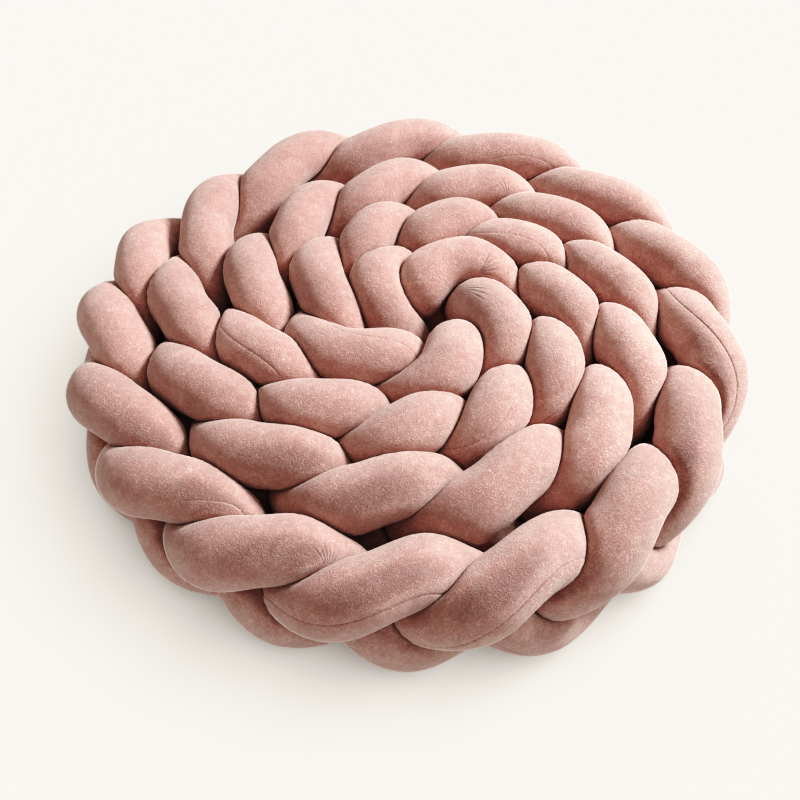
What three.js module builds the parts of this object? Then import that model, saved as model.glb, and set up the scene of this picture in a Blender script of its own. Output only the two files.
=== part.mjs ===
// Braided crib bumper: three stuffed velvet tubes in a flat braid, stood on edge and coiled into a round.
// Millimetres, +Z up. The coil opens clockwise from its middle, seen from above, and rests on z = 0.
import * as THREE from 'three';

// Driving sizes of one stuffed tube
const TUBE_WIDTH = 53;
const FULLNESS = 0.97;
const MOST_BULGE = 1.15;
const LEAST_BULGE = 0.95;
const END_ROUND = 0.9;

// Driving sizes of the braid stood on edge
const STRANDS = 3;
const CREST_RISE = 41;
const BRAID_MIDDLE = 64;
const SUNK_SHARE = 0.5;

// How tubes lie against each other
const GAP = 0.5;
const PRESS_SOFTNESS = 5;
const BEND_CLEARANCE = 0.85;
const OWN_REACH = 2.2;
const EASE_SHARE = 0.6;
const EASE_ROUNDS = 14;
const LEVEL = 0.3;

// Fineness of the solids
const SIDES = 12;
const RINGS = 238;
const AXIS_SAMPLES = 1500;
const FILL_ROUNDS = 10;

// The coil, a row for each part of a turn. Bearing in degrees clockwise from the left side;
// lobes are the upper folds passed so far; sway is how far a strand swings to each side;
// foot is how far the lower folds spread outward.
const COIL = [
  { bearing: -90, lobes: -1.00, radius: 24, sway: 12, foot: 0 },
  { bearing: 0, lobes: -0.12, radius: 38, sway: 15, foot: 0 },
  { bearing: 90, lobes: 0.66, radius: 47, sway: 17, foot: 0 },
  { bearing: 180, lobes: 1.72, radius: 77, sway: 17, foot: 0 },
  { bearing: 270, lobes: 3.36, radius: 80, sway: 17, foot: 0 },
  { bearing: 360, lobes: 4.76, radius: 98, sway: 15, foot: 0 },
  { bearing: 450, lobes: 6.66, radius: 104, sway: 12, foot: 0 },
  { bearing: 540, lobes: 9.03, radius: 136, sway: 12, foot: 0 },
  { bearing: 630, lobes: 11.90, radius: 142, sway: 13, foot: 0 },
  { bearing: 720, lobes: 14.74, radius: 162, sway: 13, foot: 0 },
  { bearing: 810, lobes: 17.40, radius: 171, sway: 12, foot: 0 },
  { bearing: 900, lobes: 20.32, radius: 191, sway: 12, foot: 0 },
  { bearing: 945, lobes: 22.12, radius: 202, sway: 13, foot: 0 },
  { bearing: 990, lobes: 23.64, radius: 200, sway: 13, foot: 0 },
  { bearing: 1035, lobes: 25.30, radius: 211, sway: 13, foot: 0 },
  { bearing: 1080, lobes: 27.10, radius: 226, sway: 13, foot: 0 },
  { bearing: 1125, lobes: 28.66, radius: 254, sway: 12, foot: 0 },
  { bearing: 1170, lobes: 30.22, radius: 244, sway: 12, foot: 3 },
  { bearing: 1215, lobes: 31.68, radius: 249, sway: 12, foot: 6 },
  { bearing: 1260, lobes: 33.55, radius: 262, sway: 12, foot: 16 },
  { bearing: 1305, lobes: 35.64, radius: 265, sway: 8, foot: 18 },
  { bearing: 1330, lobes: 36.80, radius: 271, sway: 9, foot: 14 },
  { bearing: 1350, lobes: 37.72, radius: 273, sway: 13, foot: 4 },
  { bearing: 1395, lobes: 39.96, radius: 279, sway: 13, foot: 8 },
  { bearing: 1418, lobes: 41.20, radius: 286, sway: 12, foot: 14 },
  { bearing: 1440, lobes: 42.40, radius: 284, sway: 12, foot: 16 },
  { bearing: 1485, lobes: 44.80, radius: 267, sway: 10, foot: 0 },
  { bearing: 1510, lobes: 46.20, radius: 258, sway: 8, foot: 0 },
];

// Where each tube begins in the middle of the coil and ends on its outside, in lobes,
// and the length over which its end sinks under its neighbours.
const ENDS = [
  { begin: -0.75, finish: 44.2 },
  { begin: -0.60, finish: 45.0 },
  { begin: 0.00, finish: 43.5 },
];
const SINK_IN = 1.0;
const SINK_OUT = 0.9;

const VELVET = { color: 0xd3a79b, roughness: 0.95, metalness: 0 };

const HALF_WIDTH = TUBE_WIDTH / 2;
const clamp = (value, low, high) => Math.min(Math.max(value, low), high);
const ease = (share) => clamp(share, 0, 1) ** 2 * (3 - 2 * clamp(share, 0, 1));

// A smooth curve through two columns of a table that stays level at each crest and dip.
function throughRows(rows, from, to) {
  const xs = rows.map((row) => row[from]);
  const ys = rows.map((row) => row[to]);
  const last = xs.length - 1;
  const run = (i) => xs[i + 1] - xs[i];
  const slope = (i) => (ys[i + 1] - ys[i]) / run(i);
  const lean = xs.map((_, i) => {
    if (i === 0 || i === last) {
      return slope(i === 0 ? 0 : last - 1);
    }
    const before = slope(i - 1);
    const after = slope(i);
    if (before * after <= 0) {
      return 0;
    }
    return (before * run(i) + after * run(i - 1)) / (run(i) + run(i - 1));
  });
  return (x) => {
    let i = 0;
    while (i < last - 1 && x > xs[i + 1]) {
      i += 1;
    }
    const t = (x - xs[i]) / run(i);
    const held = ys[i] * (1 + 2 * t) * (1 - t) ** 2 + ys[i + 1] * t * t * (3 - 2 * t);
    return held + run(i) * (lean[i] * t * (1 - t) ** 2 + lean[i + 1] * t * t * (t - 1));
  };
}

const bearingAt = throughRows(COIL, 'lobes', 'bearing');
const radiusAt = throughRows(COIL, 'bearing', 'radius');
const swayAt = throughRows(COIL, 'bearing', 'sway');
const footAt = throughRows(COIL, 'bearing', 'foot');

// The middle of a tube: over the top edge, through the braid, under the bottom edge and back,
// always from the inner side to the outer side of the braid on each edge.
function axisPoint(strand, lobes) {
  const phase = (2 * Math.PI * (lobes - strand)) / STRANDS;
  const wave = Math.cos(phase);
  const end = ENDS[strand];
  const shown = ease((lobes - end.begin) / SINK_IN) * ease((end.finish - lobes) / SINK_OUT);
  const sunk = BRAID_MIDDLE - SUNK_SHARE * CREST_RISE;
  const z = sunk + (BRAID_MIDDLE + CREST_RISE * wave - sunk) * shown;
  const bearing = bearingAt(lobes);
  const side = swayAt(bearing) * Math.sin(2 * phase);
  const reach = radiusAt(bearing) + side + (footAt(bearing) * (1 - wave)) / 2;
  const angle = THREE.MathUtils.degToRad(bearing);
  return new THREE.Vector3(-reach * Math.cos(angle), reach * Math.sin(angle), z);
}

// The axis of a tube as points evenly spaced along it.
function evenAxis(strand, count) {
  const { begin, finish } = ENDS[strand];
  const fine = Array.from({ length: 4 * count }, (_, i) => {
    return axisPoint(strand, begin + ((finish - begin) * i) / (4 * count - 1));
  });
  const run = [0];
  for (let i = 1; i < fine.length; i += 1) {
    run.push(run[i - 1] + fine[i].distanceTo(fine[i - 1]));
  }
  const length = run[run.length - 1];
  let k = 0;
  return Array.from({ length: count }, (_, i) => {
    const along = (length * i) / (count - 1);
    while (k < run.length - 2 && run[k + 1] < along) {
      k += 1;
    }
    const share = clamp((along - run[k]) / (run[k + 1] - run[k]), 0, 1);
    return { along, length, point: fine[k].clone().lerp(fine[k + 1], share) };
  });
}

const axes = ENDS.map((_, strand) => evenAxis(strand, AXIS_SAMPLES));

// How far a ray from the middle of a tube runs before it meets a neighbour or its own bend, and the floor.
function roomAlong(ray, station, near) {
  let room = Infinity;
  near.forEach(({ offset, square }) => {
    const toward = ray.dot(offset);
    if (toward > 1e-6) {
      room = Math.min(room, square / (2 * toward));
    }
  });
  room -= GAP / 2;
  const inward = ray.dot(station.bend);
  if (inward > 1e-9) {
    room = Math.min(room, BEND_CLEARANCE / inward);
  }
  return room;
}

const floorRoom = (ray, point) => (ray.z < -1e-6 ? point.z / -ray.z : Infinity);

// A stuffed tube rounds off where it is pressed, over a short width.
function pressed(room, girth) {
  const least = Math.min(room, girth);
  if (!Number.isFinite(room)) {
    return girth;
  }
  const sum = Math.exp((least - room) / PRESS_SOFTNESS) + Math.exp((least - girth) / PRESS_SOFTNESS);
  return least - PRESS_SOFTNESS * Math.log(sum);
}

// A pressed tube bulges where it is free, so that it keeps its filling.
function girthFor(rooms, floors) {
  const wanted = FULLNESS * Math.PI * HALF_WIDTH ** 2;
  let girth = HALF_WIDTH;
  for (let i = 0; i < FILL_ROUNDS; i += 1) {
    const reach = rooms.map((room, k) => Math.min(pressed(room, girth), floors[k]));
    const area = reach.reduce((sum, r, k) => sum + r * reach[(k + 1) % SIDES], 0)
      * 0.5 * Math.sin((2 * Math.PI) / SIDES);
    const eased = girth * Math.sqrt(wanted / area) ** 0.8;
    girth = clamp(eased, LEAST_BULGE * HALF_WIDTH, MOST_BULGE * HALF_WIDTH);
  }
  return girth;
}

// Rings lie closer together at the rounded ends of a tube.
function ringIndices() {
  const step = (AXIS_SAMPLES - 1) / (RINGS - 5);
  const inner = Array.from({ length: RINGS - 6 }, (_, i) => (i + 1) * step);
  const first = [0, 0.18, 0.5].map((share) => share * step);
  const final = first.map((place) => AXIS_SAMPLES - 1 - place).reverse();
  return [...first, ...inner, ...final].map((place) => Math.round(place));
}

function stationsOf(strand) {
  const axis = axes[strand];
  const last = axis.length - 1;
  return ringIndices().map((i) => {
    const before = axis[Math.max(i - 3, 0)];
    const after = axis[Math.min(i + 3, last)];
    const middle = axis[clamp(i, 3, last - 3)];
    const tangent = after.point.clone().sub(before.point).normalize();
    const side = new THREE.Vector3().crossVectors(tangent, new THREE.Vector3(0, 0, 1)).normalize();
    const normal = new THREE.Vector3().crossVectors(side, tangent);
    const step = (axis[6].along - axis[0].along) / 2;
    const a = axis[clamp(i, 3, last - 3) - 3].point;
    const b = axis[clamp(i, 3, last - 3) + 3].point;
    const bend = a.clone().add(b).addScaledVector(middle.point, -2).divideScalar(step * step);
    return { ...axis[i], index: i, side, normal, bend };
  });
}

function neighboursOf(strand, station) {
  const found = [];
  axes.forEach((axis, other) => {
    axis.forEach((sample) => {
      if (other === strand && Math.abs(sample.along - station.along) < OWN_REACH * TUBE_WIDTH) {
        return;
      }
      const offset = sample.point.clone().sub(station.point);
      const square = offset.lengthSq();
      if (square < (2.6 * HALF_WIDTH * MOST_BULGE) ** 2) {
        found.push({ offset, square, place: sample.point });
      }
    });
  });
  return found;
}

// The rings of a tube: each with its rays, the length of each ray and the axes that lie near it.
function ringsOf(strand) {
  const rings = stationsOf(strand).map((station) => {
    const near = neighboursOf(strand, station);
    const rays = Array.from({ length: SIDES }, (_, k) => {
      const turn = (2 * Math.PI * k) / SIDES;
      const across = station.side.clone().multiplyScalar(Math.cos(turn));
      return across.addScaledVector(station.normal, Math.sin(turn));
    });
    const rooms = rays.map((ray) => roomAlong(ray, station, near));
    const floors = rays.map((ray) => floorRoom(ray, station.point));
    return { ...station, near, rays, rooms, floors, girth: girthFor(rooms, floors) };
  });
  return rings.map((ring, i) => {
    const around = [i - 1, i, i, i + 1].map((k) => rings[clamp(k, 0, rings.length - 1)].girth);
    const girth = around.reduce((sum, g) => sum + g, 0) / around.length;
    const toEnd = clamp(Math.min(ring.along, ring.length - ring.along) / (END_ROUND * HALF_WIDTH), 0.02, 1);
    const round = Math.sqrt(1 - (1 - toEnd) ** 2);
    const reach = ring.rooms.map((room, k) => Math.min(pressed(room, girth) * round, ring.floors[k]));
    return { ...ring, reach };
  });
}

// The distance from a spot to the nearest of some points.
function nearest(spot, points) {
  const square = points.reduce((least, point) => Math.min(least, point.distanceToSquared(spot)), Infinity);
  return Math.sqrt(square);
}

// A flat face between rings may cut the corner of a hollow, so its rings draw in
// until the face too lies on its own side of the gap.
function easeFaces(strand, rings) {
  const spotAt = ([i, k]) => rings[i].point.clone().addScaledVector(rings[i].rays[k], rings[i].reach[k]);
  for (let round = 0; round < EASE_ROUNDS; round += 1) {
    const cuts = rings.map((ring) => ring.reach.map(() => 0));
    for (let i = 0; i < rings.length - 1; i += 1) {
      const others = [...rings[i].near, ...rings[i + 1].near].map((found) => found.place);
      const stretch = axes[strand].slice(Math.max(rings[i].index - 4, 0), rings[i + 1].index + 5);
      const own = stretch.map((sample) => sample.point);
      for (let k = 0; k < SIDES; k += 1) {
        const next = (k + 1) % SIDES;
        const [a, b, c, d] = [[i, k], [i + 1, k], [i + 1, next], [i, next]];
        [[a, b], [a, c], [b, c], [a, b, c], [a, c, d]].forEach((corners) => {
          const spot = new THREE.Vector3();
          corners.forEach((corner) => spot.addScaledVector(spotAt(corner), 1 / corners.length));
          const lacking = GAP - (nearest(spot, others) - nearest(spot, own));
          if (lacking > 0) {
            corners.forEach(([ring, side]) => {
              cuts[ring][side] = Math.max(cuts[ring][side], EASE_SHARE * lacking);
            });
          }
        });
      }
    }
    rings.forEach((ring, i) => {
      ring.reach = ring.reach.map((reach, k) => Math.max(reach - cuts[i][k], 0.4 * reach));
    });
  }
  return rings;
}

// One closed tube: a ring of points at each station, closed by a point at each end.
function strandGeometry(strand) {
  const rings = easeFaces(strand, ringsOf(strand));
  const spots = [];
  rings.forEach((ring) => {
    ring.rays.forEach((ray, k) => {
      const spot = ring.point.clone().addScaledVector(ray, ring.reach[k]);
      spots.push(spot.x, spot.y, spot.z < LEVEL ? 0 : spot.z);
    });
  });
  const first = rings[0].point;
  const final = rings[rings.length - 1].point;
  spots.push(first.x, first.y, first.z, final.x, final.y, final.z);
  const faces = [];
  const at = (i, k) => i * SIDES + (k % SIDES);
  for (let i = 0; i < rings.length - 1; i += 1) {
    for (let k = 0; k < SIDES; k += 1) {
      faces.push(at(i, k), at(i + 1, k), at(i + 1, k + 1));
      faces.push(at(i, k), at(i + 1, k + 1), at(i, k + 1));
    }
  }
  const head = rings.length * SIDES;
  for (let k = 0; k < SIDES; k += 1) {
    faces.push(head, at(0, k), at(0, k + 1));
    faces.push(head + 1, at(rings.length - 1, k + 1), at(rings.length - 1, k));
  }
  const geometry = new THREE.BufferGeometry();
  geometry.setAttribute('position', new THREE.Float32BufferAttribute(spots, 3));
  geometry.setIndex(faces);
  return geometry;
}

// The coil sits with the middle of its box over the origin.
const geometries = ENDS.map((_, strand) => strandGeometry(strand));
const box = new THREE.Box3();
geometries.forEach((geometry) => {
  geometry.computeBoundingBox();
  box.union(geometry.boundingBox);
});
const middle = box.getCenter(new THREE.Vector3());

const bumper = new THREE.Group();
bumper.name = 'braided_crib_bumper';
geometries.forEach((geometry, strand) => {
  geometry.translate(-middle.x, -middle.y, 0);
  const velvet = new THREE.MeshStandardMaterial(VELVET);
  velvet.name = 'plush_velvet';
  const mesh = new THREE.Mesh(geometry, velvet);
  mesh.name = `strand_${strand + 1}`;
  bumper.add(mesh);
});

export default bumper;
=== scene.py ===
"""Braided crib bumper: three stuffed velvet tubes, plaited flat, stood on edge and coiled into a round.

Each tube is a long velvet panel, rolled round the line of its strand, sewn along one edge and pressed
against its neighbours. Sizes inside the script are metres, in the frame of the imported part.
"""

import math
from functools import reduce
from operator import add

import bmesh
import bpy
import numpy as np
from bpy.props import FloatProperty, FloatVectorProperty, IntProperty, PointerProperty
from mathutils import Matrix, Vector


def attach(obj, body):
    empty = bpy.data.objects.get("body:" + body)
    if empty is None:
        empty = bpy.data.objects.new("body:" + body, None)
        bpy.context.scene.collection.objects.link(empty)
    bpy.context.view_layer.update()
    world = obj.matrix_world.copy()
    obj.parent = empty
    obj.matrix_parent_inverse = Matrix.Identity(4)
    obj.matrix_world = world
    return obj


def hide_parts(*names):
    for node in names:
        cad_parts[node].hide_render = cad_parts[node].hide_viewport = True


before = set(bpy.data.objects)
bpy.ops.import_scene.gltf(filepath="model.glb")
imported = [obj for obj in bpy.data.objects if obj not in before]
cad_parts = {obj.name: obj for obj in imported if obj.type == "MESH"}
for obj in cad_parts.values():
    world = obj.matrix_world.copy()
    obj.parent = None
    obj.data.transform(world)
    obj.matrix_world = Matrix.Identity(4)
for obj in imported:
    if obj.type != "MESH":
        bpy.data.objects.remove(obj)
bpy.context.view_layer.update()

bl_info = {
    "name": "Braided crib bumper",
    "version": (1, 0, 0),
    "blender": (4, 5, 0),
    "location": "View3D > Sidebar > Bumper",
    "description": "Makes a coiled crib bumper of three plaited velvet tubes",
    "category": "Add Mesh",
}

# Millimetres in a metre.
MM = 1000

# The coil, a row for each part of a turn: bearing in degrees clockwise from the left side, upper folds
# passed so far, radius, swing of a strand to each side and outward spread of the lower folds, in mm.
BEARING, LOBES, RADIUS, SWAY, FOOT = range(5)
COIL = np.array([
    (-90, -1.00, 24, 12, 0),
    (0, -0.12, 38, 15, 0),
    (90, 0.66, 47, 17, 0),
    (180, 1.72, 77, 17, 0),
    (270, 3.36, 80, 17, 0),
    (360, 4.76, 98, 15, 0),
    (450, 6.66, 104, 12, 0),
    (540, 9.03, 136, 12, 0),
    (630, 11.90, 142, 13, 0),
    (720, 14.74, 162, 13, 0),
    (810, 17.40, 171, 12, 0),
    (900, 20.32, 191, 12, 0),
    (945, 22.12, 202, 13, 0),
    (990, 23.64, 200, 13, 0),
    (1035, 25.30, 211, 13, 0),
    (1080, 27.10, 226, 13, 0),
    (1125, 28.66, 254, 12, 0),
    (1170, 30.22, 244, 12, 3),
    (1215, 31.68, 249, 12, 6),
    (1260, 33.55, 262, 12, 16),
    (1305, 35.64, 265, 8, 18),
    (1330, 36.80, 271, 9, 14),
    (1350, 37.72, 273, 13, 4),
    (1395, 39.96, 279, 13, 8),
    (1418, 41.20, 286, 12, 14),
    (1440, 42.40, 284, 12, 16),
    (1485, 44.80, 267, 10, 0),
    (1510, 46.20, 258, 8, 0),
], float)
COIL[:, RADIUS:] /= MM
COIL_SHIFT = np.array((0.00962, 0.01668, 0.0))

# Where each tube begins and ends, in lobes, the length over which its ends sink under its neighbours, and how
# deep they sink as a share of the rise of a fold.
ENDS = ((-0.75, 44.2), (-0.60, 45.0), (0.00, 43.5))
SINK_IN = 1.0
SINK_OUT = 0.9
SUNK_SHARE = 0.5
STRANDS = 3

# Where the sewn edge of each tube lies: lobe, angle from the inner side over the top and, in mm, how far
# it sinks. At 250 degrees it is turned away underneath.
LOBE, ANGLE, DEPTH = range(3)
SEAMS = (
    np.array([(-1, 250, 0.8), (46, 250, 0.8)], float),
    np.array([
        (-1, 110, 0.5),
        (3.7, 100, 0.5),
        (4.15, 58, 0.6),
        (7, -100, 0.8),
        (9.9, -248, 0.4),
        (10.3, -236, 0.6),
        (12.5, -110, 0.8),
        (29.5, -110, 0.5),
        (31.0, 38, 0.3),
        (31.3, 51, 0.3),
        (33.6, 57, 0.55),
        (34.2, 92, 0.75),
        (34.5, 128, 0.65),
        (35.0, 130, 0.1),
        (36.4, 131, 0.1),
        (36.9, 133, 0.6),
        (37.3, 148, 0.7),
        (37.6, 178, 0.7),
        (39.5, 62, 0.8),
        (39.75, 108, 0.5),
        (40.2, 180, 0.1),
        (42, 250, 0.8),
        (46, 250, 0.8),
    ], float),
    np.array([
        (-1, 250, 0.8),
        (5.2, 250, 0.8),
        (7.7, 78, 0.35),
        (8.2, 69, 0.35),
        (10.9, 114, 0.4),
        (11.3, 114, 0.6),
        (13.7, 124, 0.6),
        (14.2, 114, 0.5),
        (16, 250, 0.8),
        (35.5, 250, 0.8),
        (37.8, 145, 0.6),
        (38.5, 144, 0.6),
        (40, 250, 0.8),
        (46, 250, 0.8),
    ], float),
)

# Small creases that fan out where a tube is pinched: strand, lobe and angle of the pinch, bearing of the fan
# from the run of the tube and its spread in degrees, number of creases, their reach and depth in mm.
CREASES = (
    (1, 1.20, 34, 56, 78, 6, 27, 0.9),
    (2, 1.69, 58, 24, 56, 4, 26, 0.8),
    (0, 38.58, 114, -56, 84, 7, 21, 0.7),
    (0, 18.32, 45, 135, 70, 4, 21, 0.5),
    (1, 10.14, 68, 47, 14, 1, 30, 0.4),
    (2, 14.02, 140, -102, 14, 1, 26, 0.4),
)

# How the pile lies, by lobe, with painted shade and painted sheen set into it: 1 where it stands up and is
# dark to look into, -1 where it lies flat and shines. Partly the lie of the pile, partly light on each fold.
STAND_AND_SHADE = 1
PILE_PAINTED_SHADE = np.array([
    (-1, 0),
    (0, 0.3),
    (0.8, -0.8),
    (2, -0.2),
    (3, -0.5),
    (5, 0),
    (10, 0),
    (11, -0.5),
    (12.3, 0),
    (14, -0.6),
    (15.5, 0),
    (19, 0),
    (20.3, -0.3),
    (22, -0.9),
    (23, 0),
    (24, 0.8),
    (25.3, 0.6),
    (26.5, 0),
    (29, 0),
    (30, 0.6),
    (31, 0.1),
    (33, -0.2),
    (34, 1),
    (35.2, 1),
    (36, 0.1),
    (37, 1),
    (40, 1),
    (41.2, 0.3),
    (42.2, -0.6),
    (46, -0.6),
], float)

# How the picture answers to light: deep in the shade, bending over in the lights.
FILM_WHITE = 1.4
FILM = ((0.05, 0.022), (0.0915, 0.066), (0.166, 0.175), (0.30, 0.35), (0.55, 0.625), (1.0, 0.96))

# How a tube is shaped: points along its line, how far it looks for neighbours in widest radii, how much of
# its own length it leaves out in widths, and how much of the radius of a bend it may fill.
AXIS_SAMPLES = 1500
NEAR = 2.6
OWN_REACH = 2.2
BEND_CLEARANCE = 0.85

# Steps that even out the filling, the slimmest ring as a share of a round one, and the length of a rounded
# end in radii.
FILL_ROUNDS = 10
FILL_STEP = 0.4
LEAST_BULGE = 0.95
GIRTH_SMOOTHING = 6
END_ROUND = 0.9

# The sewn groove, and the wider dip in which it lies, as widths and shares of the groove.
SEAM_DRAW = 5.0
GROOVE_SHARE = 0.6

# Open room in metres, and values too small to matter.
FREE = 1.0
LEVEL = 1e-6
TINY = 1e-9

# Soft patches and brush marks of the pile: features in a metre, detail and warp, and the levels of the noise
# at which they begin and are full.
PATCHES = (26.0, 3.0, 0.5)
PATCH_LEVELS = (0.34, 0.68)
MARKS = (120.0, 3.0, 1.0)
MARK_LEVELS = (0.30, 0.72)
MARK_RELIEF = 0.004

# Fibres and the finer hairs between them: detail and warp, and how they stand out.
FIBRES = (1.0, 1.8)
HAIRS = (1.0, 1.2)
HAIRS_FINER = 2.1
HAIR_WEIGHT = 1.2
FIBRE_LEVELS = (0.05, 0.55)
FIBRE_STRENGTH = 0.5
FIBRE_RELIEF = 0.0012

# Stitches of the sewn line, and how dark the line stays between them.
THREAD_LEVELS = (0.15, 0.8)
STITCH_LEVELS = (0.2, 0.8)
STITCH_GAP = 0.35

# Creases: where in a fold they deepen, how far from the pinch in mm they begin, from which share of their
# reach and of the fan's spread they fade, how much painted shade darkens them for each mm, and how nearly the
# number of a tube has to agree.
FOLD_LEVELS = (0.12, 0.5)
PINCH_CLEAR = (3.0, 8.0)
CREASE_FADE = 0.55
FAN_FADE = (0.38, 0.5)
CREASE_SHADE = 0.2
SAME_TUBE = 0.1

# How far the floor lies under the tubes, the camera's sensor in mm, and the film's curve for all colours.
FLOOR_DROP = 0.0002
SENSOR_WIDTH = 36
ALL_CHANNELS = 3


def through(x, rows, across, up):
    """A smooth curve through two columns of a table that stays level at each crest and dip."""
    xs, ys = rows[:, across], rows[:, up]
    run = np.diff(xs)
    slope = np.diff(ys) / run
    lean = np.zeros(len(xs))
    mixed = (slope[:-1] * run[1:] + slope[1:] * run[:-1]) / (run[1:] + run[:-1])
    lean[1:-1] = np.where(slope[1:] * slope[:-1] > 0, mixed, 0)
    lean[0], lean[-1] = slope[0], slope[-1]
    i = np.clip(np.searchsorted(xs, x) - 1, 0, len(run) - 1)
    t = (x - xs[i]) / run[i]
    held = ys[i] * (1 + 2 * t) * (1 - t) ** 2 + ys[i + 1] * t * t * (3 - 2 * t)
    return held + run[i] * (lean[i] * t * (1 - t) ** 2 + lean[i + 1] * t * t * (t - 1))


def ease(share):
    share = np.clip(share, 0, 1)
    return share * share * (3 - 2 * share)


def unit(vectors):
    return vectors / np.linalg.norm(vectors, axis=-1, keepdims=True)


def strand_line(strand, lobes, sizes):
    """The middle of a tube: over the top edge, through the braid, under the bottom edge and back."""
    phase = 2 * np.pi * (lobes - strand) / STRANDS
    wave = np.cos(phase)
    begin, finish = ENDS[strand]
    shown = ease((lobes - begin) / SINK_IN) * ease((finish - lobes) / SINK_OUT)
    sunk = sizes.braid_middle - SUNK_SHARE * sizes.crest_rise
    z = sunk + (sizes.braid_middle + sizes.crest_rise * wave - sunk) * shown
    bearing = through(lobes, COIL, LOBES, BEARING)
    reach = through(bearing, COIL, BEARING, RADIUS)
    reach = reach + through(bearing, COIL, BEARING, SWAY) * np.sin(2 * phase)
    reach = reach + through(bearing, COIL, BEARING, FOOT) * (1 - wave) / 2
    angle = np.radians(bearing)
    return np.stack([-reach * np.cos(angle), reach * np.sin(angle), z], -1) + COIL_SHIFT


class StrandAxis:
    """The line of one tube, with points evenly spaced along it."""

    def __init__(self, strand, sizes):
        begin, finish = ENDS[strand]
        fine = np.linspace(begin, finish, 4 * AXIS_SAMPLES)
        spots = strand_line(strand, fine, sizes)
        run = np.concatenate([[0], np.cumsum(np.linalg.norm(np.diff(spots, axis=0), axis=1))])
        self.strand = strand
        self.length = run[-1]
        self.along = np.linspace(0, self.length, AXIS_SAMPLES)
        self.lobes = np.interp(self.along, run, fine)
        self.points = strand_line(strand, self.lobes, sizes)
        self.tangent = unit(np.gradient(self.points, axis=0))
        self.side = unit(np.cross(self.tangent, (0, 0, 1)))
        self.normal = np.cross(self.side, self.tangent)
        step = self.along[1] * 3
        bend = np.zeros_like(self.points)
        bend[3:-3] = (self.points[6:] + self.points[:-6] - 2 * self.points[3:-3]) / step**2
        bend[:3], bend[-3:] = bend[3], bend[-4]
        self.bend = bend

    def at(self, values, along):
        """Values given at the axis points, read at other places along it."""
        columns = [np.interp(along, self.along, column) for column in np.atleast_2d(values.T)]
        return np.stack(columns, -1)


def room_round(axis, along, rays, axes, sizes):
    """How far each ray from the middle of a tube runs before it meets a neighbour or its own bend."""
    points = axis.at(axis.points, along)
    bend = axis.at(axis.bend, along)
    spots = np.concatenate([other.points for other in axes])
    owner = np.concatenate([np.full(AXIS_SAMPLES, other.strand) for other in axes])
    place = np.concatenate([other.along for other in axes])
    near = NEAR * sizes.tube_width / 2 * sizes.most_bulge
    room = np.full(rays.shape[:2], FREE)
    for i, point in enumerate(points):
        offset = spots - point
        square = (offset**2).sum(1)
        own = (owner == axis.strand) & (np.abs(place - along[i]) < OWN_REACH * sizes.tube_width)
        keep = (square < near**2) & ~own
        if keep.any():
            toward = np.maximum(rays[i] @ offset[keep].T, TINY)
            room[i] = np.minimum(room[i], (square[keep] / (2 * toward)).min(1))
    room -= sizes.gap / 2
    inward = np.maximum(np.einsum("ikx,ix->ik", rays, bend), TINY)
    return np.minimum(room, BEND_CLEARANCE / inward)


def pressed(room, girth, softness):
    """A stuffed tube rounds off where it is pressed, over a short width."""
    least = np.minimum(room, girth)
    return least - softness * np.log(np.exp((least - room) / softness) + np.exp((least - girth) / softness))


def smoothed(values, rounds, wrap):
    """A light smoothing along the tube, and around it where wrap is set."""
    for _ in range(rounds):
        padded = np.concatenate([values[:1], values, values[-1:]])
        values = (padded[:-2] + 2 * padded[1:-1] + padded[2:]) / 4
        if wrap:
            values = (np.roll(values, 1, 1) + 2 * values + np.roll(values, -1, 1)) / 4
    return values


def floor_below(points, rays):
    """How far each ray from the middle of a tube runs before it meets the floor."""
    fall = -rays[..., 2]
    return np.where(fall > LEVEL, points[:, 2:] / np.maximum(fall, LEVEL), FREE)


def filled_girth(room, floor, opening, sizes):
    """The radius of each ring before it is pressed, so that the pressed ring keeps its filling."""
    half = sizes.tube_width / 2
    girth = np.full((len(room), 1), half)
    wanted = sizes.fullness * np.pi * half**2
    for _ in range(FILL_ROUNDS):
        reach = np.minimum(pressed(room, girth, sizes.softness), floor)
        area = (reach * np.roll(reach, -1, 1) * opening).sum(1, keepdims=True) / 2
        girth = np.clip(girth * (wanted / area) ** FILL_STEP, LEAST_BULGE * half, sizes.most_bulge * half)
    return smoothed(girth, GIRTH_SMOOTHING, False)


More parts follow.
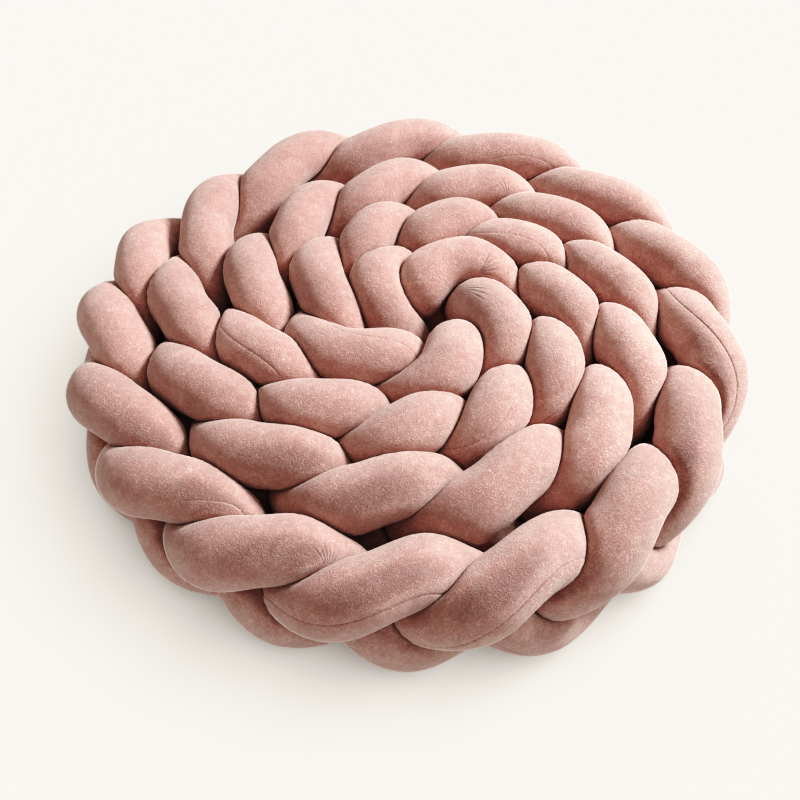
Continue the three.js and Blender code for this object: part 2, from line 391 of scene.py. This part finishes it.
def rolled_panel(axis, axes, sizes):
    """The places of a panel's points, rings along the tube by columns around it from the sewn edge."""
    rings = int(axis.length / sizes.ring_step)
    along = np.linspace(0, axis.length, rings)
    lobes = np.interp(along, axis.along, axis.lobes)
    seam = np.radians(through(lobes, SEAMS[axis.strand], LOBE, ANGLE))
    sunk = through(lobes, SEAMS[axis.strand], LOBE, DEPTH)[:, None] / MM
    share = np.linspace(0, 1, sizes.sides + 1)[:-1]
    share = share - sizes.seam_crowding * np.sin(2 * np.pi * share) / (2 * np.pi)
    turn = seam[:, None] + 2 * np.pi * share[None]
    side, normal = unit(axis.at(axis.side, along)), unit(axis.at(axis.normal, along))
    rays = np.cos(turn)[..., None] * side[:, None] + np.sin(turn)[..., None] * normal[:, None]
    points = axis.at(axis.points, along)
    room = room_round(axis, along, rays, axes, sizes)
    floor = floor_below(points, rays)
    opening = np.sin(np.diff(np.append(share, 1)) * 2 * np.pi)
    girth = filled_girth(room, floor, opening, sizes)
    reach = smoothed(pressed(room, girth, sizes.softness), 1, True)
    reach = np.minimum(reach, room)
    around = np.minimum(share, 1 - share) * 2 * np.pi * reach
    groove = np.exp(-((around / sizes.seam_width) ** 2))
    drawn_in = np.exp(-((around / (SEAM_DRAW * sizes.seam_width)) ** 2))
    dip = GROOVE_SHARE * groove + (1 - GROOVE_SHARE) * drawn_in
    reach = reach - sizes.seam_depth * sunk * dip
    to_end = np.minimum(along, axis.length - along) / (END_ROUND * sizes.tube_width / 2)
    reach = reach * np.sqrt(1 - (1 - np.clip(to_end, 0, 1)) ** 2)[:, None]
    reach = np.minimum(reach, floor)
    places = points[:, None] + reach[..., None] * rays
    sewn = groove * sunk * MM
    places, sewn = (np.concatenate([rows, rows[:, :1]], 1) for rows in (places, sewn))
    # Painted shade and painted sheen by lobe, carried to the mesh as its pile level.
    brushed = through(lobes, PILE_PAINTED_SHADE, LOBE, STAND_AND_SHADE)
    return places, sewn, brushed, along, np.append(share, 1)


def sew_panel(strand, places, sewn, brushed, along, share, width):
    """A flat grid, rolled into the tube, with its long edges sewn together and its ends drawn shut."""
    rings, columns = places.shape[:2]
    sheet = bmesh.new()
    bmesh.ops.create_grid(sheet, x_segments=rings - 1, y_segments=columns - 1, size=0.5)
    uv = sheet.loops.layers.uv.new("panel")
    seam = sheet.verts.layers.float.new("seam")
    tube = sheet.verts.layers.float.new("tube")
    pile = sheet.verts.layers.float.new("pile")
    for face in sheet.faces:
        for loop in face.loops:
            flat = loop.vert.co
            ring = round((flat.x + 0.5) * (rings - 1))
            column = round((flat.y + 0.5) * (columns - 1))
            loop[uv].uv = (along[ring], share[column] * width)
    for vert in sheet.verts:
        ring = round((vert.co.x + 0.5) * (rings - 1))
        column = round((vert.co.y + 0.5) * (columns - 1))
        vert.co = places[ring, column]
        vert[seam] = sewn[ring, column]
        vert[tube] = strand
        # Painted shade and painted sheen by lobe.
        vert[pile] = brushed[ring]
    bmesh.ops.remove_doubles(sheet, verts=sheet.verts, dist=LEVEL)
    bmesh.ops.recalc_face_normals(sheet, faces=sheet.faces)
    for face in sheet.faces:
        face.smooth = True
    mesh = bpy.data.meshes.new(f"velvet_strand_{strand + 1}")
    sheet.to_mesh(mesh)
    sheet.free()
    return mesh


class Wire:
    """A socket of a finish. Sums and products of wires become Math nodes."""

    def __init__(self, finish, socket):
        self.finish = finish
        self.socket = socket

    def output(self, name):
        """Another output of the same node."""
        return Wire(self.finish, self.socket.node.outputs[name])

    def __abs__(self):
        return self.finish.math("ABSOLUTE", self)

    def __add__(self, other):
        return self.finish.math("ADD", self, other)

    __radd__ = __add__

    def __sub__(self, other):
        return self.finish.math("SUBTRACT", self, other)

    def __rsub__(self, other):
        return self.finish.math("SUBTRACT", other, self)

    def __mul__(self, other):
        return self.finish.math("MULTIPLY", self, other)

    __rmul__ = __mul__

    def __truediv__(self, other):
        return self.finish.math("DIVIDE", self, other)

    def __rtruediv__(self, other):
        return self.finish.math("DIVIDE", other, self)

    def __pow__(self, other):
        return self.finish.math("POWER", self, other)

    def __rpow__(self, other):
        return self.finish.math("POWER", other, self)


class Finish:
    """A material or world whose nodes are made by one method."""

    def __init__(self, owner):
        owner.use_nodes = True
        self.owner = owner
        self.tree = owner.node_tree
        self.tree.nodes.clear()

    def node(self, kind, settings=None, inputs=None, output=0):
        """A node of a type with its settings, then the values or wires of its sockets."""
        made = self.tree.nodes.new(kind)
        for name, value in (settings or {}).items():
            setattr(made, name, value)
        for name, value in (inputs or {}).items():
            socket = made.inputs[name]
            if isinstance(value, Wire):
                self.tree.links.new(value.socket, socket)
            else:
                socket.default_value = value
        return Wire(self, made.outputs[output]) if made.outputs else None

    def math(self, operation, *values):
        return self.node("ShaderNodeMath", {"operation": operation}, dict(enumerate(values)))

    def vector(self, operation, *values):
        return self.node("ShaderNodeVectorMath", {"operation": operation}, dict(enumerate(values)))

    def mix(self, share, first, second, blend="MIX"):
        """One colour over another. The node's colour sockets come after those for numbers and vectors."""
        settings = {"data_type": "RGBA", "blend_type": blend}
        return self.node("ShaderNodeMix", settings, {0: share, 6: first, 7: second}, output=2)

    def noise(self, place, scale, detail, warp):
        inputs = {"Vector": place, "Scale": scale, "Detail": detail, "Distortion": warp}
        return self.node("ShaderNodeTexNoise", {"noise_dimensions": "3D"}, inputs)

    def attribute(self, name):
        """A number that the mesh holds at each point."""
        return self.node("ShaderNodeAttribute", {"attribute_name": name}, output="Fac")

    def slant(self, normal=None):
        """How far the surface, or another normal, is turned from the eye: 0 end on and 1 along the rim."""
        inputs = {"Normal": normal} if normal else {}
        return self.node("ShaderNodeLayerWeight", None, {"Blend": 0.5, **inputs}, output="Facing")

    def spread(self, wire, low, high, to_low=0.0, to_high=1.0):
        """A value stretched from one range to another and held there."""
        inputs = {"Value": wire, "From Min": low, "From Max": high, "To Min": to_low, "To Max": to_high}
        return self.node("ShaderNodeMapRange", {"clamp": True, "interpolation_type": "SMOOTHSTEP"}, inputs)

    def swing(self, wire, levels, amount):
        """A factor that goes from a little under 1 to a little over it between two levels."""
        return self.spread(wire, *levels, 1 - amount, 1 + amount)


def creases(finish, run, around, axes, width):
    """Depth in mm of the creases that fan out from each pinch of a tube."""
    tube = finish.attribute("tube")
    fans = []
    for strand, lobe, angle, bearing, spread, count, reach, sunk in CREASES:
        pinch = np.interp(lobe, axes[strand].lobes, axes[strand].along)
        from_seam = (angle - through(np.array([lobe]), SEAMS[strand], LOBE, ANGLE)[0]) / 360 % 1
        x = (run - float(pinch)) * MM
        y = finish.math("WRAP", around - float(from_seam * width), width / 2, -width / 2) * MM
        far = (x * x + y * y) ** 0.5
        turn = (finish.math("ARCTAN2", y, x) - math.radians(bearing)) / math.radians(spread) + 0.5
        fold = finish.spread(finish.math("PINGPONG", turn * count + 0.5, 0.5), *FOLD_LEVELS)
        shown = finish.spread(far, *PINCH_CLEAR) * finish.spread(far, CREASE_FADE * reach, reach, 1.0, 0.0)
        shown = shown * finish.spread(abs(turn - 0.5), *FAN_FADE, 1.0, 0.0)
        fans.append(fold * shown * finish.math("COMPARE", tube, strand, SAME_TUBE) * sunk)
    return reduce(add, fans)


def fibre_scribble(finish, place, scale):
    """Fine crossing fibres with finer hairs between them, from 0 to 1."""
    fibres = finish.noise(place, scale, *FIBRES)
    hairs = finish.noise(place, HAIRS_FINER * scale, *HAIRS)
    return finish.spread(abs(fibres - 0.5) * 2 + abs(hairs - 0.5) * HAIR_WEIGHT, *FIBRE_LEVELS)


def pile_tone_and_painted_sheen(finish, patches, marks, edge, cloth):
    """Pile colour, deep seen end on, with painted sheen paler from the side and a painted rim highlight."""
    nap = finish.spread(patches, *PATCH_LEVELS) * 0.5 + finish.spread(marks, *MARK_LEVELS) * 0.5
    leaning = {"Strength": cloth.brushing, "Distance": MARK_RELIEF, "Height": marks}
    lean = finish.node("ShaderNodeBump", None, leaning)
    along = finish.node("ShaderNodeTangent", {"direction_type": "UV_MAP", "uv_map": "panel"})
    laid = finish.vector("MULTIPLY_ADD", along, (-cloth.nap_lean,) * 3, lean)
    slant = finish.slant(finish.vector("NORMALIZE", laid))
    # Painted sheen: paler as the surface turns from the eye, and a painted highlight at each rim.
    painted_sheen_share = finish.spread(slant + (nap - 0.5) * cloth.patchiness, cloth.rim_start, cloth.rim_full)
    tone = finish.mix(painted_sheen_share, (*cloth.shaded_nap, 1), (*cloth.painted_sheen_nap, 1))
    return finish.mix(finish.spread(edge, cloth.painted_rim_start, 1.0), tone, (*cloth.painted_rim_highlight, 1))


def pile_painted_shade_and_sheen(finish, edge, cloth):
    """How brushed pile takes the light, with painted shade and painted sheen: dark to look into where it
    stands, shiny where it lies flat.
    """
    stand = finish.attribute("pile")
    painted_shade_end_on = finish.spread(stand, 0.0, 1.0) * finish.spread(edge, 0.0, cloth.painted_shade_reach, 1.0, 0.0)
    painted_sheen_flat = finish.spread(stand, -1.0, 0.0, 1.0, 0.0)
    return (1 - painted_shade_end_on * cloth.painted_pile_shade) * (painted_sheen_flat * cloth.painted_pile_sheen + 1)


def sewn_thread(finish, run, cloth):
    """The sewn line, darkest in the middle of each stitch."""
    half_stitch = cloth.stitch_length / 2
    stitch = finish.math("PINGPONG", run, half_stitch) / half_stitch
    line = finish.spread(finish.attribute("seam"), *THREAD_LEVELS)
    return line * finish.spread(stitch, *STITCH_LEVELS, STITCH_GAP, 1.0) * cloth.stitch_shade


def plush_velvet(cloth, axes, width):
    """Short velvet pile brushed in patches, the sewn line and creases of each tube, painted shade and sheen.
    """
    finish = Finish(bpy.data.materials.new("plush_velvet"))
    place = finish.node("ShaderNodeTexCoord", output="Object")
    patches = finish.noise(place, *PATCHES)
    marks = finish.noise(place, *MARKS)
    fibres = fibre_scribble(finish, place, cloth.fibre_scale)
    edge = finish.slant()
    panel = finish.node("ShaderNodeUVMap", {"uv_map": "panel"})
    run = finish.node("ShaderNodeSeparateXYZ", None, {0: panel}, output="X")
    folds = creases(finish, run, run.output("Y"), axes, width)
    level = finish.swing(fibres, (0.0, 1.0), cloth.fibre_contrast) * pile_painted_shade_and_sheen(finish, edge, cloth)
    level = level * finish.swing(patches, PATCH_LEVELS, cloth.mottle)
    level = level * finish.swing(marks, MARK_LEVELS, cloth.frost)
    # The sewn line is darker, and the creases take painted shade.
    level = level * (1 - sewn_thread(finish, run, cloth)) * (1 - folds * CREASE_SHADE)
    cool = level * finish.swing(marks, MARK_LEVELS, cloth.blush)
    shade = finish.node("ShaderNodeCombineColor", None, {0: level, 1: cool, 2: cool})
    tone = pile_tone_and_painted_sheen(finish, patches, marks, edge, cloth)
    folded = finish.node("ShaderNodeBump", {"invert": True}, {
        "Strength": 1.0,
        "Distance": 1 / MM,
        "Height": folds,
    })
    ruffled = finish.node("ShaderNodeBump", None, {
        "Strength": FIBRE_STRENGTH,
        "Distance": FIBRE_RELIEF,
        "Height": fibres,
        "Normal": folded,
    })
    shader = finish.node("ShaderNodeBsdfPrincipled", None, {
        "Base Color": finish.mix(1.0, tone, shade, "MULTIPLY"),
        "Roughness": 0.95,
        "Specular IOR Level": 0.1,
        "Sheen Weight": cloth.sheen,
        "Sheen Roughness": cloth.sheen_spread,
        "Sheen Tint": (*cloth.sheen_colour, 1),
        "Normal": ruffled,
    })
    finish.node("ShaderNodeOutputMaterial", None, {"Surface": shader})
    return finish.owner


def pale_floor(stage):
    finish = Finish(bpy.data.materials.new("pale_floor"))
    shader = finish.node("ShaderNodeBsdfPrincipled", None, {
        "Base Color": (*stage.floor_colour, 1),
        "Roughness": 0.9,
        "Specular IOR Level": 0.0,
    })
    finish.node("ShaderNodeOutputMaterial", None, {"Surface": shader})
    return finish.owner


def studio_world(stage):
    """Dim light from all round."""
    finish = Finish(bpy.data.worlds.new("studio"))
    inputs = {"Color": (*stage.fill_colour, 1), "Strength": stage.fill}
    light = finish.node("ShaderNodeBackground", None, inputs)
    finish.node("ShaderNodeOutputWorld", None, {"Surface": light})
    return finish.owner


class BumperSizes(bpy.types.PropertyGroup):
    """Sizes of the tubes and of the braid."""

    tube_width: FloatProperty(name="Tube width", description="Width of one stuffed tube", default=0.053,
                              unit="LENGTH")
    fullness: FloatProperty(name="Fullness", description="Filling, as a share of a round tube",
                            default=0.97, subtype="FACTOR")
    most_bulge: FloatProperty(name="Most bulge",
                              description="How far a pressed tube may swell where it is free", default=1.15)
    crest_rise: FloatProperty(name="Crest rise", description="Height of the folds above the braid's middle",
                              default=0.041, unit="LENGTH")
    braid_middle: FloatProperty(name="Braid middle", description="Height of the braid's middle",
                                default=0.064, unit="LENGTH")
    gap: FloatProperty(name="Gap", description="Clear space between pressed tubes", default=0.0003,
                       unit="LENGTH", precision=5)
    softness: FloatProperty(name="Softness", description="Width over which a pressed tube rounds off",
                            default=0.0022, unit="LENGTH", precision=4)
    seam_depth: FloatProperty(name="Seam depth", description="How deep the sewn edge sinks, as a share",
                              default=1.3)
    seam_width: FloatProperty(name="Seam width", description="Half width of the sewn groove",
                              default=0.0008, unit="LENGTH", precision=5)
    seam_crowding: FloatProperty(name="Seam crowding",
                                 description="How closely the mesh gathers at the seam", default=0.82,
                                 subtype="FACTOR")
    ring_step: FloatProperty(name="Ring step", description="Spacing of the mesh along a tube",
                             default=0.0046, unit="LENGTH", precision=4)
    sides: IntProperty(name="Sides", description="Mesh columns around a tube", default=72)


class BumperCloth(bpy.types.PropertyGroup):
    """Colours of the velvet, the lie of its pile, and its painted shade and painted sheen."""

    shaded_nap: FloatVectorProperty(name="Shaded nap", description="Colour where the pile is seen end on",
                                    subtype="COLOR", default=(0.462, 0.258, 0.230))
    # The paler colour the pile turns towards the rims: painted sheen.
    painted_sheen_nap: FloatVectorProperty(name="Raised nap",
                                    description="Colour where the pile is seen from the side",
                                    subtype="COLOR", default=(0.485, 0.305, 0.272))
    # Slants over which the painted sheen comes in.
    rim_start: FloatProperty(name="Rim start", description="Slant at which the pile begins to pale",
                             default=0.0, subtype="FACTOR")
    rim_full: FloatProperty(name="Rim full", description="Slant at which the pile is palest", default=0.7,
                            subtype="FACTOR")
    # Near-white colour along each rim and the slant where it begins: a painted highlight.
    painted_rim_highlight: FloatVectorProperty(name="Fuzz colour",
                                     description="Colour of the fine fuzz along each edge", subtype="COLOR",
                                     default=(1.0, 0.87, 0.82))
    painted_rim_start: FloatProperty(name="Fuzz start", description="Slant at which the fuzz begins to show",
                              default=0.8, subtype="FACTOR")
    patchiness: FloatProperty(name="Patchiness", description="How unevenly the pile is brushed",
                              default=0.25, subtype="FACTOR")
    brushing: FloatProperty(name="Brushing", description="How far the pile leans in patches", default=0.4,
                            subtype="FACTOR")
    nap_lean: FloatProperty(name="Nap lean", description="How far the pile leans back along the tube",
                            default=0.3, subtype="FACTOR")
    # Painted shade and painted sheen by lobe, partly the lie of the pile: how dark, up to which slant, and
    # how shiny.
    painted_pile_shade: FloatProperty(name="Pile depth", description="How dark upright pile is to look into",
                              default=0.36, subtype="FACTOR")
    painted_shade_reach: FloatProperty(name="Depth reach", description="Slant up to which upright pile is dark",
                               default=0.19, subtype="FACTOR")
    painted_pile_sheen: FloatProperty(name="Pile shine", description="How much flat pile shines", default=0.22,
                              subtype="FACTOR")
    mottle: FloatProperty(name="Mottle", description="How much paler and darker the brushed patches are",
                          default=0.08, subtype="FACTOR")
    frost: FloatProperty(name="Frost", description="How much paler the tips of the pile are", default=0.06,
                         subtype="FACTOR")
    blush: FloatProperty(name="Blush", description="How much pinker the pile is in brushed places",
                         default=0.05, subtype="FACTOR")
    fibre_scale: FloatProperty(name="Fibre scale", description="How fine the fibres are", default=300.0)
    fibre_contrast: FloatProperty(name="Fibre contrast", description="How much single fibres stand out",
                                  default=0.17, subtype="FACTOR")
    stitch_length: FloatProperty(name="Stitch length", description="Length of one stitch", default=0.0032,
                                 unit="LENGTH", precision=4)
    stitch_shade: FloatProperty(name="Stitch shade", description="How dark the sewn line is", default=0.45,
                                subtype="FACTOR")
    sheen: FloatProperty(name="Sheen", description="Strength of the sheen", default=0.4, subtype="FACTOR")
    sheen_spread: FloatProperty(name="Sheen spread", description="How widely the sheen spreads",
                                default=0.5, subtype="FACTOR")
    sheen_colour: FloatVectorProperty(name="Sheen colour", description="Colour of the sheen",
                                      subtype="COLOR", default=(1.0, 0.88, 0.84))


class BumperStage(bpy.types.PropertyGroup):
    """Floor, lights and camera."""

    floor_colour: FloatVectorProperty(name="Floor colour", description="Colour of the floor",
                                      subtype="COLOR", default=(0.36, 0.350, 0.331))
    floor_size: FloatProperty(name="Floor size", description="Half the width of the floor", default=30.0,
                              unit="LENGTH")
    fill: FloatProperty(name="Fill", description="Strength of the even light all round", default=0.435)
    fill_colour: FloatVectorProperty(name="Fill colour", description="Colour of the even light",
                                     subtype="COLOR", default=(1.0, 0.885, 0.825))
    soft: FloatProperty(name="Soft light", description="Strength of the broad light from one side",
                        default=0.7)
    soft_from: FloatVectorProperty(name="Soft from", description="Direction the broad light comes from",
                                   subtype="XYZ", default=(0.85, -0.1, 0.45))
    soft_size: FloatProperty(name="Soft size", description="Angular width of the broad light", default=1.8,
                             subtype="ANGLE")
    key: FloatProperty(name="Key", description="Strength of the key light on the bumper", default=246.0,
                       unit="POWER")
    key_size: FloatProperty(name="Key size", description="Radius of the key light", default=0.25,
                            unit="LENGTH")
    key_from: FloatVectorProperty(name="Key from", description="Place of the key light",
                                  subtype="TRANSLATION", default=(1.25, 0.62, 1.08))
    key_colour: FloatVectorProperty(name="Key colour", description="Colour of the lights on the bumper",
                                    subtype="COLOR", default=(0.985, 1.0, 0.985))
    wash: FloatProperty(name="Wash", description="Strength of the wide light on the floor", default=8.05)
    wash_from: FloatVectorProperty(name="Wash from", description="Direction the wide light comes from",
                                   subtype="XYZ", default=(0.45, -0.08, 1.0))
    wash_size: FloatProperty(name="Wash size", description="Angular width of the wide light", default=1.35,
                             subtype="ANGLE")
    wash_colour: FloatVectorProperty(name="Wash colour", description="Colour of the wide light",
                                     subtype="COLOR", default=(0.99, 0.987, 0.965))
    look_at: FloatVectorProperty(name="Look at", description="Point at the middle of the picture",
                                 subtype="TRANSLATION", default=(-0.0089, -0.0942, 0.105))
    distance: FloatProperty(name="Distance", description="From the camera to that point", default=0.5701,
                            unit="LENGTH")
    elevation: FloatProperty(name="Elevation", description="How far the camera looks down",
                             default=math.radians(56.7), subtype="ANGLE")
    lens: FloatProperty(name="Lens", description="Focal length in millimetres", default=29.52,
                        subtype="DISTANCE_CAMERA")


class BUMPER_OT_strands(bpy.types.Operator):
    """Make the three velvet tubes of the braid"""

    bl_idname = "bumper.strands"
    bl_label = "Velvet strands"

    def execute(self, context):
        sizes = context.scene.bumper_sizes
        axes = [StrandAxis(strand, sizes) for strand in range(STRANDS)]
        velvet = plush_velvet(context.scene.bumper_cloth, axes, math.pi * sizes.tube_width)
        for axis in axes:
            mesh = sew_panel(axis.strand, *rolled_panel(axis, axes, sizes), math.pi * sizes.tube_width)
            mesh.materials.append(velvet)
            tube = bpy.data.objects.new(mesh.name, mesh)
            context.scene.collection.objects.link(tube)
            bpy.data.collections["lit_strands"].objects.link(tube)
            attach(tube, "root")
            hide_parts(f"strand_{axis.strand + 1}")
        return {"FINISHED"}


class BUMPER_OT_stage(bpy.types.Operator):
    """Make the floor, the lights and the camera"""

    bl_idname = "bumper.stage"
    bl_label = "Stage"

    def execute(self, context):
        scene = context.scene
        stage = scene.bumper_stage
        plan = bmesh.new()
        bmesh.ops.create_grid(plan, x_segments=1, y_segments=1, size=stage.floor_size)
        bmesh.ops.translate(plan, verts=plan.verts, vec=(0, 0, -FLOOR_DROP))
        mesh = bpy.data.meshes.new("floor")
        plan.to_mesh(mesh)
        plan.free()
        mesh.materials.append(pale_floor(stage))
        floor = bpy.data.objects.new("floor", mesh)
        scene.collection.objects.link(floor)

        scene.world = studio_world(stage)
        lit = {name: bpy.data.collections.new(f"lit_{name}") for name in ("strands", "floor")}
        lit["floor"].objects.link(floor)
        key = bpy.data.lights.new("key", "POINT")
        key.shadow_soft_size = stage.key_size
        soft = bpy.data.lights.new("soft", "SUN")
        soft.angle = stage.soft_size
        wash = bpy.data.lights.new("wash", "SUN")
        wash.angle = stage.wash_size
        lights = (
            (key, "strands", stage.key, stage.key_from, stage.key_colour),
            (soft, "strands", stage.soft, stage.soft_from, stage.key_colour),
            (wash, "floor", stage.wash, stage.wash_from, stage.wash_colour),
        )
        for light, receiver, strength, place, colour in lights:
            light.energy = strength
            light.color = colour
            lamp = bpy.data.objects.new(light.name, light)
            lamp.location = place
            lamp.rotation_mode = "QUATERNION"
            lamp.rotation_quaternion = (-Vector(place)).to_track_quat("-Z", "Y")
            scene.collection.objects.link(lamp)
            lamp.light_linking.receiver_collection = lit[receiver]

        lens = bpy.data.cameras.new("camera")
        lens.sensor_width = SENSOR_WIDTH
        lens.lens = stage.lens
        camera = bpy.data.objects.new("camera", lens)
        toward = Vector((0, math.cos(stage.elevation), -math.sin(stage.elevation)))
        camera.location = Vector(stage.look_at) - toward * stage.distance
        camera.rotation_mode = "QUATERNION"
        camera.rotation_quaternion = toward.to_track_quat("-Z", "Y")
        scene.collection.objects.link(camera)
        scene.camera = camera
        scene.view_settings.view_transform = "Standard"
        scene.view_settings.use_curve_mapping = True
        film = scene.view_settings.curve_mapping
        film.white_level = (FILM_WHITE,) * 3
        for place, level in FILM:
            film.curves[ALL_CHANNELS].points.new(place / FILM_WHITE, level)
        film.update()
        return {"FINISHED"}


class BUMPER_PT_sidebar(bpy.types.Panel):
    """Lists the pieces of the bumper and their sizes"""

    bl_idname = "BUMPER_PT_sidebar"
    bl_label = "Braided crib bumper"
    bl_space_type = "VIEW_3D"
    bl_region_type = "UI"
    bl_category = "Bumper"

    def draw(self, context):
        scene = context.scene
        for operator in (BUMPER_OT_strands, BUMPER_OT_stage):
            self.layout.operator(operator.bl_idname)
        for group in (scene.bumper_sizes, scene.bumper_cloth, scene.bumper_stage):
            box = self.layout.box()
            for name in group.__annotations__:
                box.prop(group, name)


CLASSES = (BumperSizes, BumperCloth, BumperStage, BUMPER_OT_strands, BUMPER_OT_stage, BUMPER_PT_sidebar)


def register():
    for kind in CLASSES:
        bpy.utils.register_class(kind)
    bpy.types.Scene.bumper_sizes = PointerProperty(type=BumperSizes)
    bpy.types.Scene.bumper_cloth = PointerProperty(type=BumperCloth)
    bpy.types.Scene.bumper_stage = PointerProperty(type=BumperStage)


def unregister():
    del bpy.types.Scene.bumper_stage
    del bpy.types.Scene.bumper_cloth
    del bpy.types.Scene.bumper_sizes
    for kind in reversed(CLASSES):
        bpy.utils.unregister_class(kind)


def main():
    register()
    bpy.ops.bumper.stage()
    bpy.ops.bumper.strands()


if __name__ == "__main__":
    main()
